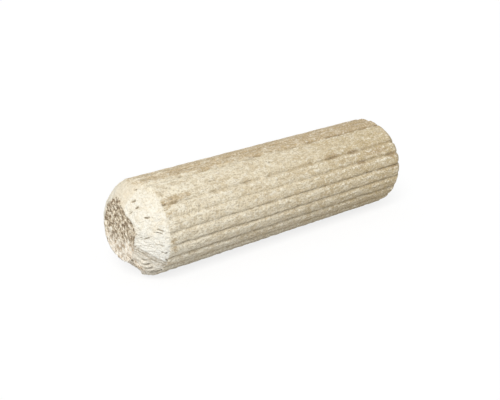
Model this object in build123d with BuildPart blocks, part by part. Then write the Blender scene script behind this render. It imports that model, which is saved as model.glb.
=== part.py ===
from build123d import *
import os
from math import cos, radians, tan

# A fluted hardwood dowel pin: one turned rod, tapered and rounded at both ends, with straight
# grooves pressed along it that let glue and air out of a blind hole.
# It lies along X with the origin at its middle. A groove faces straight down, so the pin rests
# on the two ridges beside it. Lengths are in millimetres and angles in degrees.

# The rod
PIN_LENGTH = 30.0
PIN_DIAMETER = 8.0

# The rounded taper that leads each end into its hole
TAPER_LENGTH = 1.8
END_FACE_DIAMETER = 4.5
TAPER_BULGE = 0.2  # how far the taper's profile bows out from a straight cone
END_EDGE_RADIUS = 0.15  # between the flat end face and the taper

# The pressed grooves
GROOVE_COUNT = 22
GROOVE_DEPTH = 0.24  # on average round the rod
GROOVE_RUNOUT = 0.10  # the rod sat off centre in the press, so one side is deeper by this much
SHALLOW_SIDE = 123.0  # direction of the shallowest grooves, from +Y towards +Z
GROOVE_ANGLE = 90.0  # between the two flanks of a groove
GROOVE_ROOT_RADIUS = 0.05
RIDGE_SHOULDER_RADIUS = 0.12  # where a ridge turns down into its groove
LOWEST_GROOVE = -90.0  # direction of the first groove, straight down
MISSED_GROOVE = 13  # counted from the lowest one; the press left no mark there

# Worked out from the sizes above
PIN_RADIUS = PIN_DIAMETER / 2
END_FACE_RADIUS = END_FACE_DIAMETER / 2
HALF_LENGTH = PIN_LENGTH / 2
GROOVE_PITCH = 360 / GROOVE_COUNT


def groove_direction(number):
    """The direction in which a groove faces, from +Y towards +Z."""
    return LOWEST_GROOVE + number * GROOVE_PITCH


def groove_depth(number):
    """How deep a groove is, from its root to the full diameter of the rod."""
    from_shallow_side = radians(groove_direction(number) - SHALLOW_SIDE)
    return GROOVE_DEPTH - GROOVE_RUNOUT * cos(from_shallow_side)


def on_full_diameter(corner):
    """Whether a corner of the section lies on the rod's own circle, not at a groove's root."""
    return abs(corner.distance_to((0, 0, 0)) - PIN_RADIUS) < 1e-4


with BuildPart() as dowel_pin:
    # The grooved rod's section, run from end to end
    with BuildSketch(Plane.YZ.offset(-HALF_LENGTH)) as grooved_section:
        Circle(PIN_RADIUS)
        for number in range(GROOVE_COUNT):
            if number == MISSED_GROOVE:
                continue
            depth = groove_depth(number)
            mouth = 2 * depth
            half_width = mouth * tan(radians(GROOVE_ANGLE / 2))
            with PolarLocations(PIN_RADIUS - depth, 1, groove_direction(number)):
                Polygon(
                    (0, 0),
                    (mouth, -half_width),
                    (mouth, half_width),
                    align=None,
                    mode=Mode.SUBTRACT,
                )
        corners = grooved_section.vertices()
        ridge_shoulders = corners.filter_by(on_full_diameter)
        groove_roots = corners.filter_by(on_full_diameter, reverse=True)
        fillet(groove_roots, GROOVE_ROOT_RADIUS)
        fillet(ridge_shoulders, RIDGE_SHOULDER_RADIUS)
    extrude(amount=PIN_LENGTH)

    # Only what lies inside the turned outline is kept, which tapers both ends
    with BuildSketch(Plane.XZ) as turned_outline:
        with BuildLine() as outline:
            Line((-HALF_LENGTH, 0), (-HALF_LENGTH, END_FACE_RADIUS))
            SagittaArc(
                (-HALF_LENGTH, END_FACE_RADIUS),
                (-HALF_LENGTH + TAPER_LENGTH, PIN_RADIUS),
                TAPER_BULGE,
            )
            Line((-HALF_LENGTH + TAPER_LENGTH, PIN_RADIUS), (0, PIN_RADIUS))
            mirror(about=Plane.YZ)
            Line((-HALF_LENGTH, 0), (HALF_LENGTH, 0))
        make_face()
        end_edges = turned_outline.vertices().filter_by(lambda v: abs(v.Y - END_FACE_RADIUS) < 1e-4)
        fillet(end_edges, END_EDGE_RADIUS)
    revolve(axis=Axis.X, mode=Mode.INTERSECT)

dowel_pin.part.label = "dowel_pin"
os.makedirs("parts", exist_ok=True)
export_step(dowel_pin.part, "parts/dowel_pin.step")
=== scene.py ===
from math import atan2, cos, degrees, exp, hypot, pi, radians, sin

import bmesh
import bpy
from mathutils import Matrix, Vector, noise


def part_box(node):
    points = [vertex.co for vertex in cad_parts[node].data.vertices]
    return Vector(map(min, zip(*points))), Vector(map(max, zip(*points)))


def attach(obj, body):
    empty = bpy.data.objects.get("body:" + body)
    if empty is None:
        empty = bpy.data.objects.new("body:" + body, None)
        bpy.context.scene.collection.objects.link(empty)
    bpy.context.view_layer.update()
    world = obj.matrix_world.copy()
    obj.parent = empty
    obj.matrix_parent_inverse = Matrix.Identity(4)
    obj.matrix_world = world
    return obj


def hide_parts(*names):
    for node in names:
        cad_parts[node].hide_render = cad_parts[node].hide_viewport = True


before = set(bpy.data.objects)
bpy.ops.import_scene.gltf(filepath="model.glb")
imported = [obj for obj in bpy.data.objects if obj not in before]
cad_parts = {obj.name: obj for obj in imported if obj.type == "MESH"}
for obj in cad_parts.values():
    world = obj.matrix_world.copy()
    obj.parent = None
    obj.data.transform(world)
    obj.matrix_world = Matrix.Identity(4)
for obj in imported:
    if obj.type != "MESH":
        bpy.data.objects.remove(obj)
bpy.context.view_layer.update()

# ---------------------------------------------------------------------------
# The pin: one rod of beech, turned round, with straight grooves pressed along it by a toothed
# roller. A cutter then tapered both ends across the grain and left a flat, brown face of end
# grain. The wood is raw: torn fibres stand on the ridges, dust lies in the grooves, and the grooves
# are painted darker both for that dust and as painted shade.
# ---------------------------------------------------------------------------
MM = 0.001
low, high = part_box("dowel_pin")
HALF_LENGTH = (high.x - low.x) / 2 / MM
PIN_RADIUS = (high.y - low.y) / 2 / MM

# The turned outline, in millimetres. The near end is at -X
TAPER_LENGTH = 1.8
FACE_RADIUS = 2.25
NEAR_BULGE, FAR_BULGE = 0.2, 0.18
BODY_END = HALF_LENGTH - TAPER_LENGTH
RING_STEPS = 330
FACE_STEPS, TAPER_STEPS, SIDE_STEPS = 23, 29, 190

# How far from the middle the pale cut wood begins. At the far end the pressed side runs on over
# the taper
NEAR_CUT_START, FAR_CUT_START = 13.1, 14.1

# The grooves. Directions are in degrees, 0 facing the front (-Y) and 90 facing up. The walls are
# the half widths of a groove above and below its bottom line
GROOVE_COUNT = 22
GROOVE_PITCH = 360 / GROOVE_COUNT
LOWEST_GROOVE = -90.0
GROOVE_DEPTH = 0.155
GROOVE_RUNOUT = 0.05
GROOVE_WANDER = 0.035
SHALLOW_SIDE = 57.0
GROOVE_UPPER_WALL, GROOVE_LOWER_WALL = 0.08, 0.15
RIDGE_CROWN = 0.08
TORN_LIP = 0.07
LIP_OFFSET, LIP_WIDTH = 0.32, 0.11

# How strongly a groove is pressed at the near and at the far end, numbered upwards along the front
# from the lowest one. Number 9 was missed. Those not listed are at full strength at both ends
GROOVE_STRENGTHS = {
    3: (1.0, 0.85),
    4: (1.0, 0.85),
    5: (1.0, 0.9),
    6: (1.0, 1.3),
    7: (0.6, 1.3),
    8: (1.2, 1.5),
    9: (0.0, 0.0),
    10: (1.1, 1.5),
}

# Brown stains on the side: place along the pin, direction, half length, half width in degrees
STAINS = [
    (-12.3, 43, 0.9, 5),
    (-11.3, 46, 1.3, 3.5),
    (-7.1, 76, 1.1, 2.5),
    (-1.6, 76, 0.6, 2.5),
    (1.0, 77, 1.1, 2.5),
    (6.9, 76, 1.2, 3),
    (5.6, 43, 0.9, 4),
    (8.2, 40, 0.7, 4),
    (10.8, 33, 1.6, 4),
    (8.7, 24, 0.6, 4),
    (12.8, 22, 0.8, 4),
    (12.9, 6, 0.7, 3),
]

# Pale chips lifted from the side, and small holes in it, painted dark as shade, given in the same
# way
CHIP_HEIGHT = 0.04
CHIPS = [
    (-11.5, 31.5, 0.45, 4.0),
    (-7.5, 57.5, 0.40, 2.5),
    (-1.3, 59.5, 0.35, 3.0),
    (-8.9, -39, 0.15, 2.0),
    (-10.4, 53, 0.30, 1.5),
    (3.2, 30, 0.40, 1.5),
]
HOLE_DEPTH = 0.10
HOLES = [
    (-7.75, 54.5, 0.18, 1.2),
    (-7.30, 54.5, 0.14, 1.2),
    (-12.0, 46, 0.25, 1.2),
    (-12.8, 41.5, 0.20, 1.5),
    (-9.3, 55, 0.12, 1.5),
    (-9.8, 74, 0.25, 1.2),
    (-9.8, 29, 0.10, 3.0),
    (-4.3, 42, 0.50, 1.0),
    (-1.2, 57.5, 0.25, 1.0),
]

# Holes and cracks in the near taper: place and direction of both ends, half width and depth. A
# step along the pin is longer by the slant on the taper, and a hole of full depth gets the full
# painted shade
TAPER_SLANT = 1.4
FULL_SHADE_DEPTH = 0.10
SCARS = [
    (-13.80, 81, -13.72, 79, 0.06, 0.12),
    (-14.30, 71, -14.18, 69, 0.07, 0.15),
    (-14.36, 58, -14.26, 57, 0.08, 0.17),
    (-14.76, 60, -14.66, 58, 0.06, 0.12),
    (-14.22, 36, -14.10, 34, 0.06, 0.20),
    (-14.10, 34, -13.98, 34, 0.04, 0.12),
    (-13.78, 16, -13.48, 12, 0.05, 0.11),
    (-13.82, 12, -13.55, 9, 0.05, 0.10),
    (-14.85, 10, -14.83, 9, 0.05, 0.10),
    (-14.68, 4, -14.65, 4, 0.05, 0.10),
    (-14.48, 2, -14.24, 5, 0.06, 0.10),
    (-13.66, -6, -13.56, -7, 0.05, 0.10),
    (-13.58, -16, -13.54, -16, 0.06, 0.12),
    (-13.38, -17, -13.33, -16, 0.06, 0.12),
    (-13.30, -25, -13.07, -30, 0.06, 0.14),
    (-13.60, -58, -13.15, -46, 0.07, 0.20),
    (-14.97, -57, -14.80, -66, 0.09, 0.16),
]

# The piece broken off the underside of the near end: its depth and how far up the pin it reaches
BREAK_DEPTH, BREAK_END = 0.38, -12.95

# The crushed place on the near taper: the lobe, the point that its curved ridges fan out from, and
# the spacing of the ridges in millimetres and of the streaks above them in degrees
LOBE_X, LOBE_LENGTH, LOBE_RADIUS = -13.6, 0.40, 3.1
FAN_X, FAN_DOWN = -14.5, 33
RIDGE_SPACING, STREAK_SPACING = 0.37, 7


def bumps(x, y, z, size, stretch=1.0, seed=0.0):
    """Smooth noise from -1 to 1, its bumps about size millimetres wide and drawn out along X."""
    return noise.noise(Vector((x / (size * stretch) + seed, y / size - seed, z / size + 2 * seed)))


def ease(value, start, end):
    """0 at start, 1 at end, smooth in between."""
    t = max(0.0, min(1.0, (value - start) / (end - start)))
    return t * t * (3 - 2 * t)


def grooves(x, direction):
    """Drop of the pressed side below the full radius, in millimetres, and from 0 to 1 how far a
    place lies down in a groove and how far it stands on a groove's torn lip."""
    along = (direction - LOWEST_GROOVE) / GROOVE_PITCH
    nearest = round(along)
    number = nearest % GROOVE_COUNT
    along += GROOVE_WANDER * bumps(x, number * 9.0, 0.0, 6.0, seed=3)
    from_shallow = radians(LOWEST_GROOVE + number * GROOVE_PITCH - SHALLOW_SIDE)
    depth = GROOVE_DEPTH - GROOVE_RUNOUT * cos(from_shallow)
    at_near, at_far = GROOVE_STRENGTHS.get(number, (1.0, 1.0))
    depth *= at_near + (at_far - at_near) * ease(x, -6, 12)
    uneven = 0.75 + 0.45 * ease(direction, 5, 30)
    depth *= max(0.15, 1.0 + 1.1 * uneven * bumps(x, number * 5.0, 0.0, 1.0, seed=5))
    share = depth / GROOVE_DEPTH
    faded = 0.35 + 0.65 * ease(x, -BODY_END, -BODY_END + 1.2)
    across = (along - nearest) * GROOVE_PITCH * pi / 180 * PIN_RADIUS
    across += 0.09 * uneven * bumps(x, direction * 0.07, number, 0.35, 1.4, seed=7)
    wall = GROOVE_UPPER_WALL if across > 0 else GROOVE_LOWER_WALL
    groove = exp(-((abs(across) / wall) ** 1.5))
    crown = RIDGE_CROWN * share * (1 - 2 * abs(along - nearest)) ** 2
    torn = max(0.0, 0.35 + 1.6 * bumps(x, number * 7.0, direction * 0.08, 0.3, 1.2, seed=9))
    lip = share * torn * exp(-(((across + LIP_OFFSET) / LIP_WIDTH) ** 2))
    drop = faded * (crown + depth * groove) - TORN_LIP * min(1.0, lip)
    return drop, groove * min(1.0, share), min(1.0, lip)


def side_relief(x, y, z):
    """Torn and pressed fibres on the side, in millimetres below the turned surface."""
    streak = bumps(x, y, z, 0.30, 5.0)
    fuzz = bumps(x, y, z, 0.20, 1.5, seed=1)
    torn = max(0.0, bumps(x, y, z, 0.45, 2.2, seed=2) - 0.15)
    return 0.03 + 0.02 * streak + 0.025 * fuzz + 0.06 * torn


def cut_relief(x, y, z):
    """Crumbling wood that the cutter left on the tapers, in millimetres below their outline."""
    lump = bumps(x, y, z, 0.6, seed=4)
    rough = bumps(x, y, z, 0.22, seed=5)
    ray = bumps(x, y, z, 0.16, 7.0, seed=6)
    return 0.08 + 0.04 * lump + 0.05 * rough + 0.03 * ray


def face_relief(y, z):
    """Flecks and pits of the torn end grain, in millimetres, drawn out along the wood's rays."""
    ray_y, ray_z = 0.44, 0.90
    along_ray = ray_y * y + ray_z * z
    across_ray = ray_z * y - ray_y * z
    fleck = noise.noise(Vector((along_ray * 2.2, across_ray * 4.0, 2.0)))
    pit = noise.noise(Vector((along_ray * 4.5, across_ray * 7.0, 7.0)))
    return 0.12 + 0.10 * fleck + 0.07 * pit


def patches(rows, x, direction):
    """The strongest of the listed patches at a place, from 0 to 1."""
    strongest = 0.0
    for place, facing, half_length, half_width in rows:
        off = ((x - place) / half_length) ** 2 + ((direction - facing) / half_width) ** 2
        if off < 2:
            strongest = max(strongest, exp(-off * off))
    return strongest


def stain(x, direction):
    """How brown the side is stained at a place, from 0 to 1: a long band on top, a narrow one along
    the near taper's edge, and the single stains."""
    band_edge = 74.5 - 0.2 * x
    total = (0.68 + 0.010 * x) * ease(direction, band_edge - 1.5, band_edge + 1.5)
    total *= 1 - ease(direction, 105, 130)
    by_border = ease(x, -13.25, -13.05) * (1 - ease(x, -12.7, -11.5))
    total = max(total, 0.4 * by_border * (1 - ease(abs(direction + 10), 60, 80)))
    return max(total, patches(STAINS, x, direction))


def scars(x, r, direction):
    """Depth of the holes and cracks in the near taper, in millimetres."""
    deepest = 0.0
    here = Vector((TAPER_SLANT * x, radians(direction) * r))
    for x1, direction1, x2, direction2, half_width, depth in SCARS:
        start = Vector((TAPER_SLANT * x1, radians(direction1) * r))
        run = Vector((TAPER_SLANT * x2, radians(direction2) * r)) - start
        share = max(0.0, min(1.0, (here - start).dot(run) / run.length_squared))
        off = (here - start - share * run).length / half_width
        if off < 2:
            deepest = max(deepest, depth * exp(-(off**3)))
    return deepest


def broken_off(x, direction):
    """How deep a piece is broken off the underside of the near end, in millimetres."""
    down = -direction
    edge = BREAK_END - 0.0012 * (down - 100) ** 2
    depth = BREAK_DEPTH * ease(edge - x, 0.0, 0.14) * (0.3 + 0.7 * ease(x, -14.9, -14.4))
    return depth * ease(down, 56, 62) * (1 - ease(down, 130, 160))


def crushed(x, direction):
    """The crushed lower front of the near taper: a streaked dent, and below it a torn lobe with
    curved ridges that fan out from its upper corner. Returns how deep it all goes in millimetres,
    and from 0 to 1 the streaked dent, which is painted grey as shade, the troughs, which are
    painted dark as shade, and the torn lobe."""
    down = -direction
    from_edge = down - 6.3 * (x + HALF_LENGTH)
    dent = ease(from_edge, 16, 21) * (1 - ease(down, 70, 100))
    streaks = dent * (1 - ease(from_edge, 27, 34))
    streaks *= 0.5 + 0.5 * cos(2 * pi * (from_edge - 18.5) / STREAK_SPACING)
    along, across = TAPER_SLANT * (x - FAN_X), radians(down - FAN_DOWN) * LOBE_RADIUS
    fan, facing = hypot(along, across), degrees(atan2(across, along))
    ridges = ease(fan, 0.36, 0.46) * (1 - ease(fan, 1.6, 1.9))
    ridges *= sin(2 * pi * (fan - 0.44) / RIDGE_SPACING)
    ridges *= ease(facing, 24, 40) * (1 - ease(facing, 80, 96))
    ridges *= 1 + 0.4 * bumps(x, down * 0.05, 0, 0.3)
    lobe = exp(-(((x - LOBE_X) / LOBE_LENGTH) ** 2)) * ease(down, 36, 52)
    lobe *= 1 - ease(down, 80, 90)
    depth = 0.10 * dent + 0.04 * streaks + 0.13 * ridges - 0.16 * lobe
    torn = dent * ease(from_edge, 28, 36)
    return depth, dent * (1 - 0.7 * torn), max(0.6 * streaks, ridges), torn


def face_outline(direction):
    """How far from the axis the flat near end face ends, in millimetres."""
    r = FACE_RADIUS - 0.20 * ease(direction, -52, -36) * (1 - ease(direction, 65, 85))
    r += 0.15 * ease(-direction, 45, 60) * (1 - ease(-direction, 80, 105))
    r -= 0.20 * exp(-(((direction - 64) / 12) ** 2)) + 0.22 * exp(-(((direction + 8) / 14) ** 2))
    return r + 0.05 * bumps(0.0, cos(radians(direction)), sin(radians(direction)), 0.16)


def finished(name, bm):
    """The object made of a bmesh, put into the scene."""
    mesh = bpy.data.meshes.new(name)
    bm.to_mesh(mesh)
    bm.free()
    thing = bpy.data.objects.new(name, mesh)
    bpy.context.collection.objects.link(thing)
    return thing


# The outline is drawn from the middle of the near face to the middle of the far one, and spun
pin_bm = bmesh.new()
outline = [
    (-HALF_LENGTH, FACE_RADIUS, FACE_STEPS),
    (-BODY_END, PIN_RADIUS, TAPER_STEPS),
    (BODY_END, PIN_RADIUS, SIDE_STEPS),
    (HALF_LENGTH, FACE_RADIUS, TAPER_STEPS),
    (HALF_LENGTH, 0.0, FACE_STEPS),
]
tip = pin_bm.verts.new((-HALF_LENGTH, 0.0, 0.0))
for x, r, steps in outline:
    run = (Vector((x, 0.0, r)) - tip.co) / steps
    for _ in range(steps):
        grown = bmesh.ops.extrude_vert_indiv(pin_bm, verts=[tip])["verts"][0]
        grown.co += run
        tip = grown
bmesh.ops.spin(
    pin_bm,
    geom=pin_bm.verts[:] + pin_bm.edges[:],
    cent=(0, 0, 0),
    axis=(1, 0, 0),
    angle=2 * pi,
    steps=RING_STEPS,
    use_merge=True,
)
bmesh.ops.remove_doubles(pin_bm, verts=pin_bm.verts, dist=1e-5)
bmesh.ops.recalc_face_normals(pin_bm, faces=pin_bm.faces)

# Every vertex is then moved, and keeps for the material what kind of surface it is part of. A
# taper's outward direction is at 45 degrees, so a break in the side reaches less deep into it
OUT_ALONG, OUT_ACROSS = 0.70, 0.71
BREAK_ON_TAPER = 0.72
LEAST_DROP = 0.02
PULL_REACH = 1.6
cut_layer = pin_bm.verts.layers.float.new("cut")
face_layer = pin_bm.verts.layers.float.new("end_face")
hollow_layer = pin_bm.verts.layers.float.new("hollow")
lip_layer = pin_bm.verts.layers.float.new("lip")
stain_layer = pin_bm.verts.layers.float.new("stain")
pit_shade_layer = pin_bm.verts.layers.float.new("pit")
dent_shade_layer = pin_bm.verts.layers.float.new("dent")
for v in pin_bm.verts:
    x, y, z = v.co
    r = hypot(y, z)
    turn = atan2(z, -y)
    direction = degrees(turn)
    near = x < 0
    end = -1 if near else 1
    drop, hollow, lip = grooves(x, direction)
    chip, hole = patches(CHIPS, x, direction), patches(HOLES, x, direction)
    drop += HOLE_DEPTH * hole - CHIP_HEIGHT * chip
    side_r = min(PIN_RADIUS, PIN_RADIUS - drop - side_relief(x, y, z))

    # Where the pale cut wood and the brown face begin, raggedly
    jag = bumps(0.0, y, z, 0.4, seed=11)
    top = ease(direction, 52, 72) * (1 - ease(direction, 120, 150))
    if near:
        border = NEAR_CUT_START + 0.18 * jag + 0.35 * top
    else:
        border = FAR_CUT_START + 0.1 * jag
    v[cut_layer] = 0.5 + (abs(x) - border) / (0.4 + 0.8 * top)
    face_edge = FACE_RADIUS + 0.06 * jag
    if near:
        face_edge += 1.2 * ease(-direction, 46, 62) * (1 - ease(-direction, 125, 165))
        face_edge += 0.4 * ease(direction, 80, 105) * (1 - ease(direction, 140, 170))
    if abs(x) > BODY_END:
        v[face_layer] = max(0.0, min(1.0, 0.5 + (face_edge - r) / 0.3))
    v[stain_layer] = stain(x, direction)

    # The side, the tapers and the flat faces
    broken = broken_off(x, direction) if near else 0.0
    if abs(x) <= BODY_END + 1e-6:
        r = side_r - broken
        lip = max(lip, chip)
        v[pit_shade_layer] = 0.8 * hole
    elif r > FACE_RADIUS - 1e-6:
        t = (HALF_LENGTH - abs(x)) / TAPER_LENGTH
        bow = (NEAR_BULGE if near else FAR_BULGE) * 4 * t * (1 - t)
        if near:
            bow *= 1 + 0.4 * ease(direction, 90, 125) * (1 - ease(direction, 165, 180))
        crumb = cut_relief(x, y, z)
        depth = crumb + v[face_layer] * (face_relief(y, z) - crumb)
        if near:
            dent, v[dent_shade_layer], trough, torn = crushed(x, direction)
            v[stain_layer] = max(v[stain_layer], 0.5 * torn)
            pit = scars(x, r, direction)
            v[pit_shade_layer] = min(1.0, max(pit / FULL_SHADE_DEPTH, trough))
            depth += dent + pit + BREAK_ON_TAPER * broken
        else:
            pressed = ease(t, 0.2, 0.7)
            depth += pressed * (drop + side_relief(x, y, z) - depth)
            hollow *= pressed
        depth *= min(1.0, 6 * t + 0.4)
        outwards = bow - max(depth, LEAST_DROP)
        x += end * OUT_ALONG * outwards
        r += OUT_ACROSS * outwards
        if near and r < side_r:
            hollow = lip = 0.0
        r = min(r, side_r)
    else:
        x -= end * face_relief(y, z) * min(1.0, (FACE_RADIUS - r) / 0.25 + 0.3)
        hollow = lip = 0.0

    # The near face is out of round, and pulls the taper around it along
    if near and abs(v.co.x) > BODY_END:
        pulled = face_outline(direction) - FACE_RADIUS
        r += pulled * max(0.0, 1 - abs(hypot(y, z) - FACE_RADIUS) / PULL_REACH)
    v[hollow_layer] = hollow
    v[lip_layer] = lip
    v.co = (x, -cos(turn) * r, sin(turn) * r)
bmesh.ops.scale(pin_bm, vec=(MM, MM, MM), verts=pin_bm.verts)
for face in pin_bm.faces:
    face.smooth = True
pin = finished("fluted_dowel", pin_bm)

# The colours of the side, of the tapers' cut wood and of the end grain
PALE_WOOD = (0.98, 0.89, 0.69)
LOWER_GREY_WOOD = (0.85, 0.79, 0.65)
BLOTCH = (0.62, 0.47, 0.26)
FAR_TAN_AND_SHADE = (0.55, 0.42, 0.21)
STAIN_TAN = (0.67, 0.52, 0.31)
STAIN_FIBRE = (0.46, 0.33, 0.17)
FAR_STAIN_AND_SHADE = (0.40, 0.28, 0.14)
DARK_CLUMP = (0.50, 0.38, 0.22)
LIGHT_CLUMP = (0.97, 0.91, 0.77)
DARK_FIBRE = (0.42, 0.33, 0.20)
DARK_SPECK = (0.42, 0.33, 0.21)
BRIGHT_SPECK = (1.0, 0.95, 0.82)
GROOVE_DUST_AND_SHADE = (0.34, 0.27, 0.17)
SOAKED_GROOVE = (0.30, 0.21, 0.11)
LIP_HIGHLIGHT_AND_CHIP = (1.0, 0.94, 0.78)
CUT_WOOD = (0.97, 0.93, 0.81)
CUT_PATCH = (0.90, 0.82, 0.66)
CUT_PAINTED_LIGHT_BELOW = (1.0, 0.98, 0.90)
CUT_ABOVE = (0.90, 0.81, 0.63)
CUT_FLAKE = (0.78, 0.66, 0.46)
CUT_HOLLOW = (0.58, 0.51, 0.38)
CUT_CRUMB = (1.0, 0.98, 0.92)
CUT_STAIN = (0.84, 0.70, 0.48)
PIT_SHADE = (0.30, 0.23, 0.14)
CRUSHED_STREAKS_AND_SHADE = (
    (0.42, (0.56, 0.47, 0.34)),
    (0.60, (0.97, 0.92, 0.80)),
)
DARK_END_GRAIN = (
    (0.40, (0.23, 0.17, 0.11)),
    (0.48, (0.48, 0.38, 0.26)),
    (0.555, (0.77, 0.66, 0.49)),
    (0.64, (1.0, 0.93, 0.78)),
)
LIGHT_END_GRAIN = (
    (0.36, (0.50, 0.38, 0.26)),
    (0.43, (0.82, 0.71, 0.56)),
    (0.52, (0.97, 0.87, 0.72)),
    (0.61, (1.0, 0.95, 0.84)),
)
RAY_ANGLE = -26
FIBRE_HEIGHT = 0.12

beech = bpy.data.materials.new("raw_beech")
beech.use_nodes = True
tree = beech.node_tree
shader = tree.nodes["Principled BSDF"]
where = tree.nodes.new("ShaderNodeTexCoord")


def join(value, socket):
    """Sets a socket to a number or a colour, or links another node's output to it."""
    if hasattr(value, "is_linked"):
        tree.links.new(value, socket)
    elif isinstance(value, tuple):
        socket.default_value = (*value, 1.0)
    else:
        socket.default_value = value


def grain(size, stretch=1.0, detail=3.0, rough=0.6, seed=0.0, ray=1.0):
    """Noise with spots of about size millimetres, drawn out along the pin or along the rays."""
    mapping = tree.nodes.new("ShaderNodeMapping")
    mapping.vector_type = "TEXTURE"
    mapping.inputs["Location"].default_value = (seed * MM, seed * 0.7 * MM, -seed * 1.3 * MM)
    mapping.inputs["Rotation"].default_value = (radians(RAY_ANGLE) if ray > 1 else 0.0, 0.0, 0.0)
    mapping.inputs["Scale"].default_value = (MM * size * stretch, MM * size, MM * size * ray)
    tree.links.new(where.outputs["Object"], mapping.inputs["Vector"])
    spots = tree.nodes.new("ShaderNodeTexNoise")
    spots.inputs["Scale"].default_value = 1.0
    spots.inputs["Detail"].default_value = detail
    spots.inputs["Roughness"].default_value = rough
    tree.links.new(mapping.outputs["Vector"], spots.inputs["Vector"])
    return spots.outputs["Fac"]


def between(value, start, end, top=1.0):
    """Value mapped from start..end to 0..top, clamped."""
    remap = tree.nodes.new("ShaderNodeMapRange")
    remap.inputs["From Min"].default_value = start
    remap.inputs["From Max"].default_value = end
    remap.inputs["To Max"].default_value = top
    join(value, remap.inputs["Value"])
    return remap.outputs["Result"]


def blend(amount, under, over):
    """Colour over laid on colour under by amount."""
    mix = tree.nodes.new("ShaderNodeMix")
    mix.data_type = "RGBA"
    for value, socket in ((amount, mix.inputs[0]), (under, mix.inputs[6]), (over, mix.inputs[7])):
        join(value, socket)
    return mix.outputs[2]


def reckon(kind, a, b):
    """One sum on two numbers."""
    node = tree.nodes.new("ShaderNodeMath")
    node.operation = kind
    join(a, node.inputs[0])
    join(b, node.inputs[1])
    return node.outputs[0]


def stored(name):
    """A value stored on the pin's vertices."""
    node = tree.nodes.new("ShaderNodeAttribute")
    node.attribute_name = name
    return node.outputs["Fac"]


def shades(value, stops):
    """Colours by value: each stop is a place from 0 to 1 and its colour."""
    ramp = tree.nodes.new("ShaderNodeValToRGB")
    while len(ramp.color_ramp.elements) < len(stops):
        ramp.color_ramp.elements.new(0.5)
    for element, (place, colour) in zip(ramp.color_ramp.elements, stops):
        element.position = place
        element.color = (*colour, 1.0)
    join(value, ramp.inputs["Fac"])
    return ramp.outputs["Color"]


def layers(colour, rows):
    """Colours laid one over another, each as strong as the value that it follows: the rows give
    that value, where it starts, where it is full, the strength there and the colour."""
    for value, start, full, strength, over in rows:
        colour = blend(between(value, start, full, strength), colour, over)
    return colour


split = tree.nodes.new("ShaderNodeSeparateXYZ")
tree.links.new(where.outputs["Object"], split.inputs["Vector"])
towards_far_end = between(split.outputs["X"], -13 * MM, 13 * MM)
lower_side = between(split.outputs["Z"], 1.0 * MM, -3.0 * MM)
in_groove, stains = stored("hollow"), stored("stain")

# Side: pale wood, greyer and darker towards the bottom, tan and darker towards the far end (partly
# the wood's own tan, partly painted shade where the light falls off along the pin), mottled and
# flaked
mottle = grain(0.80, 2.2, seed=5)
clump = grain(0.40, 2.0, seed=15)
fibre = grain(0.14, 5.0, detail=2.0, seed=1)
speck = grain(0.12, 1.4, detail=2.0, seed=3)
flake = grain(0.26, 1.5, rough=0.7, seed=13)
# Greyer and darker towards the bottom
side = blend(reckon("MULTIPLY", lower_side, 0.8), PALE_WOOD, LOWER_GREY_WOOD)
blotch = reckon("MULTIPLY", between(mottle, 0.50, 0.57), reckon("ADD", towards_far_end, 0.5))
side = blend(reckon("MULTIPLY", blotch, 0.4), side, BLOTCH)
# Darker towards the far end: partly the wood's own tan, partly painted shade of the light's falloff
side = blend(reckon("MULTIPLY", towards_far_end, 0.81), side, FAR_TAN_AND_SHADE)
tan = blend(between(fibre, 0.45, 0.60, 0.5), STAIN_TAN, STAIN_FIBRE)
# The stains also darken towards the far end, partly as painted shade of the light's falloff
tan = blend(reckon("MULTIPLY", towards_far_end, 0.45), tan, FAR_STAIN_AND_SHADE)
ragged_stain = reckon("ADD", stains, reckon("MULTIPLY", reckon("SUBTRACT", clump, 0.5), -1.2))
soaked = reckon("MULTIPLY", in_groove, stains)
# Painted highlight on the lip below each groove, lit from above; the pale chips get it too
fringe_highlight_and_chips = reckon("MULTIPLY", stored("lip"), between(speck, 0.40, 0.52))
side = layers(
    side,
    (
        (ragged_stain, 0.35, 0.60, 0.85, tan),
        (clump, 0.49, 0.38, 0.32, DARK_CLUMP),
        (clump, 0.52, 0.62, 0.28, LIGHT_CLUMP),
        (fibre, 0.50, 0.64, 0.35, DARK_FIBRE),
        (speck, 0.50, 0.36, 0.45, DARK_SPECK),
        (speck, 0.53, 0.64, 0.45, BRIGHT_SPECK),
        (flake, 0.59, 0.62, 0.50, BRIGHT_SPECK),
        # The grooves darkened, partly for the dust in them and partly as painted shade
        (in_groove, 0.2, 1.0, 0.35, GROOVE_DUST_AND_SHADE),
        (soaked, 0.1, 0.6, 0.45, SOAKED_GROOVE),
        (fringe_highlight_and_chips, 0.1, 0.6, 0.65, LIP_HIGHLIGHT_AND_CHIP),
    ),
)

# Tapers: bright cut wood with crumbs and small dark pits, with painted light on the lower part, and
# streaked, with painted shade, where crushed
crumb = grain(0.14, rough=0.65, seed=6)
cut = blend(between(grain(0.6, seed=2), 0.44, 0.66), CUT_WOOD, CUT_PATCH)
# Painted light: the lower part of the tapers is painted lighter, where the light falls off
cut = blend(reckon("MULTIPLY", lower_side, 1.5), cut, CUT_PAINTED_LIGHT_BELOW)
cut = layers(
    cut,
    (
        (split.outputs["Z"], 1.4 * MM, 3.6 * MM, 0.5, CUT_ABOVE),
        (flake, 0.42, 0.34, 0.4, CUT_FLAKE),
        (crumb, 0.46, 0.34, 0.55, CUT_HOLLOW),
        (crumb, 0.56, 0.66, 0.5, CUT_CRUMB),
    ),
)
cut = blend(reckon("MULTIPLY", stains, 0.65), cut, CUT_STAIN)
# Painted shade: the crushed dent is painted grey, with the streaks in it
streak = shades(grain(0.15, 6.0, detail=2.0, seed=4), CRUSHED_STREAKS_AND_SHADE)
cut = blend(reckon("MULTIPLY", stored("dent"), 0.75), cut, streak)

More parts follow.
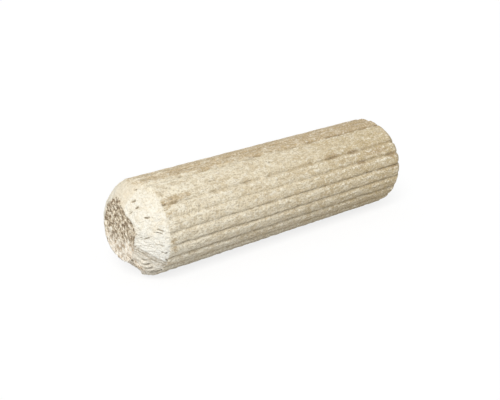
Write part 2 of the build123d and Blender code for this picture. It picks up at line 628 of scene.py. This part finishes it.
# End faces: brown end grain with light flecks along the rays, lighter towards the bottom
fleck = grain(0.19, seed=8, ray=1.5)
uneven = reckon("MULTIPLY", reckon("SUBTRACT", mottle, 0.5), 3 * MM)
upper_half = between(reckon("ADD", split.outputs["Z"], uneven), -1.1 * MM, -0.1 * MM)
end_grain = blend(upper_half, shades(fleck, LIGHT_END_GRAIN), shades(fleck, DARK_END_GRAIN))

# The three surfaces meet along ragged lines, and pits get painted shade on all of them
ragged = reckon("MULTIPLY", reckon("SUBTRACT", grain(0.2, seed=9), 0.5), 2.0)
cut_here = between(reckon("ADD", stored("cut"), ragged), 0.35, 0.65)
face_here = between(reckon("ADD", stored("end_face"), ragged), 0.35, 0.65)
colour = blend(face_here, blend(cut_here, side, cut), end_grain)
colour = blend(between(stored("pit"), 0.2, 0.9, 0.8), colour, PIT_SHADE)
tree.links.new(colour, shader.inputs["Base Color"])
shader.inputs["Roughness"].default_value = 0.85
shader.inputs["Specular IOR Level"].default_value = 0.25

# Specks and flakes stand up from the surface, and the dark fibres lie lower
height = reckon("ADD", reckon("MULTIPLY", fibre, -0.6), reckon("ADD", speck, flake))
bump = tree.nodes.new("ShaderNodeBump")
bump.inputs["Strength"].default_value = 1.0
bump.inputs["Distance"].default_value = FIBRE_HEIGHT * MM
tree.links.new(height, bump.inputs["Height"])
tree.links.new(bump.outputs["Normal"], shader.inputs["Normal"])

pin.data.materials.append(beech)
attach(pin, "root")
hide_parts("dowel_pin")

# ---------------------------------------------------------------------------
# The table: a plain white sheet under the pin, lit by one broad soft lamp from the upper left and
# by an even white room.
# ---------------------------------------------------------------------------
FLOOR_SPAN = 4.0
FLOOR_GREY = 0.65
GLOW_SHARE, GLOW_STRENGTH = 0.7, 1.17
LAMP_STRENGTH, LAMP_SPREAD = 2.2, 28
LAMP_FROM = Vector((-0.62, -0.50, 0.78))
ROOM_LIGHT, ROOM_WHITE = 0.48, 1.0


def shown(nodes, links):
    """1 where the white is seen, directly, in a gloss or through glass, and 0 elsewhere."""
    path = nodes.new("ShaderNodeLightPath")
    total = path.outputs["Is Camera Ray"]
    for ray in ("Is Glossy Ray", "Is Transmission Ray"):
        either = nodes.new("ShaderNodeMath")
        either.operation = "MAXIMUM"
        links.new(total, either.inputs[0])
        links.new(path.outputs[ray], either.inputs[1])
        total = either.outputs[0]
    return total


floor_bm = bmesh.new()
bmesh.ops.create_grid(floor_bm, x_segments=1, y_segments=1, size=FLOOR_SPAN / 2)
bmesh.ops.translate(floor_bm, vec=(0, 0, low.z), verts=floor_bm.verts)
floor = finished("floor", floor_bm)

paper = bpy.data.materials.new("white_paper")
paper.use_nodes = True
nodes, links = paper.node_tree.nodes, paper.node_tree.links
nodes.clear()
sheet = nodes.new("ShaderNodeBsdfDiffuse")
sheet.inputs["Color"].default_value = (FLOOR_GREY, FLOOR_GREY, FLOOR_GREY, 1)
glow = nodes.new("ShaderNodeEmission")
glow.inputs["Color"].default_value = (1, 1, 1, 1)
glow.inputs["Strength"].default_value = GLOW_STRENGTH
share = nodes.new("ShaderNodeMath")
share.operation = "MULTIPLY"
share.inputs[1].default_value = GLOW_SHARE
mix = nodes.new("ShaderNodeMixShader")
output = nodes.new("ShaderNodeOutputMaterial")
links.new(shown(nodes, links), share.inputs[0])
links.new(share.outputs[0], mix.inputs["Fac"])
links.new(sheet.outputs["BSDF"], mix.inputs[1])
links.new(glow.outputs["Emission"], mix.inputs[2])
links.new(mix.outputs["Shader"], output.inputs["Surface"])
floor.data.materials.append(paper)

lamp_data = bpy.data.lights.new("soft_lamp", "SUN")
lamp_data.energy = LAMP_STRENGTH
lamp_data.angle = radians(LAMP_SPREAD)
lamp = bpy.data.objects.new("soft_lamp", lamp_data)
lamp.rotation_mode = "QUATERNION"
lamp.rotation_quaternion = LAMP_FROM.to_track_quat("Z", "Y")
bpy.context.collection.objects.link(lamp)

room = bpy.data.worlds.new("room")
room.use_nodes = True
nodes, links = room.node_tree.nodes, room.node_tree.links
air = nodes["Background"]
backdrop = nodes.new("ShaderNodeBackground")
mix = nodes.new("ShaderNodeMixShader")
air.inputs["Color"].default_value = (1, 1, 1, 1)
air.inputs["Strength"].default_value = ROOM_LIGHT
backdrop.inputs["Color"].default_value = (1, 1, 1, 1)
backdrop.inputs["Strength"].default_value = ROOM_WHITE
links.new(shown(nodes, links), mix.inputs["Fac"])
links.new(air.outputs["Background"], mix.inputs[1])
links.new(backdrop.outputs["Background"], mix.inputs[2])
links.new(mix.outputs["Shader"], nodes["World Output"].inputs["Surface"])
bpy.context.scene.world = room
bpy.context.scene.view_settings.view_transform = "Standard"

# ---------------------------------------------------------------------------
# The camera: it stands in front of the pin, towards its near end and a little above, and looks
# at the whole pin through a long lens.
# ---------------------------------------------------------------------------
AZIMUTH, ELEVATION = radians(-41.63), radians(19.67)
AIM = Vector((-1.455, 0.0, -0.504)) * MM
DISTANCE = 92.3 * MM
LENS = 77.2
back = Vector((sin(AZIMUTH) * cos(ELEVATION), -cos(AZIMUTH) * cos(ELEVATION), sin(ELEVATION)))
camera_data = bpy.data.cameras.new("camera")
camera_data.lens = LENS
camera_data.clip_start = 5 * MM
camera = bpy.data.objects.new("camera", camera_data)
camera.location = AIM + back * DISTANCE
camera.rotation_mode = "QUATERNION"
camera.rotation_quaternion = (-back).to_track_quat("-Z", "Y")
bpy.context.collection.objects.link(camera)
bpy.context.scene.camera = camera
